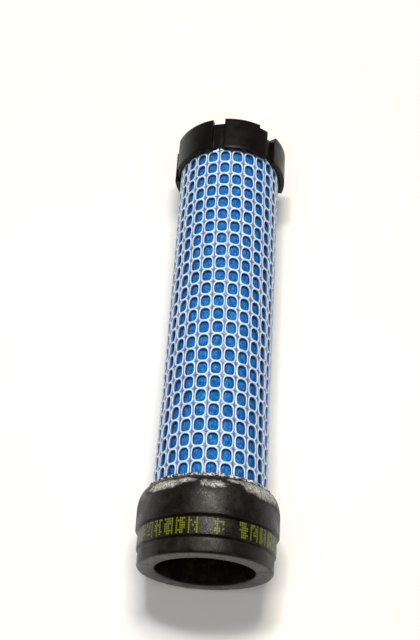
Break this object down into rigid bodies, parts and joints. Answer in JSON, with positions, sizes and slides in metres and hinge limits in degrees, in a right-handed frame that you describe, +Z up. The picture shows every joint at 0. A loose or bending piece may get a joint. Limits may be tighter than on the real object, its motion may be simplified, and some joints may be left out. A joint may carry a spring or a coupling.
{
  "type": "compressed air filter element",
  "caption": "Tubular inner air-filter element: blue felt under a plastic net, a soft radial seal with an open bore at one end and a lugged closed cap at the other.",
  "frame": {"origin": "middle of the element's bounding box, on the filter's axis", "axes": "+Y along the filter's axis from the open mouth to the closed cap; +Z up as the element lies on its side, through the lug beside the first slot"},
  "size_m": [0.0624, 0.22, 0.0624],
  "materials": {
    "seal_urethane": "matt cast urethane with a dusty skin",
    "cured_resin": "rough cured potting resin",
    "net_plastic": "extruded milky netting, satin gloss",
    "blue_felt": "needled blue felt",
    "seam_glue": "hot-melt bead",
    "white_scrim": "thin white nonwoven",
    "core_plastic": "moulded dark grey plastic",
    "cap_plastic": "semi-gloss black moulding"
  },
  "bodies": {
    "root": {"open_end_seal": "seal_urethane", "seal_bead": "cured_resin", "outer_net": "net_plastic", "felt_wrap": "blue_felt", "felt_seam": "seam_glue", "scrim_layer": "white_scrim", "inner_core": "core_plastic", "cap_potting": "cured_resin", "closed_end_cap": "cap_plastic"}
  },
  "joints": []
}
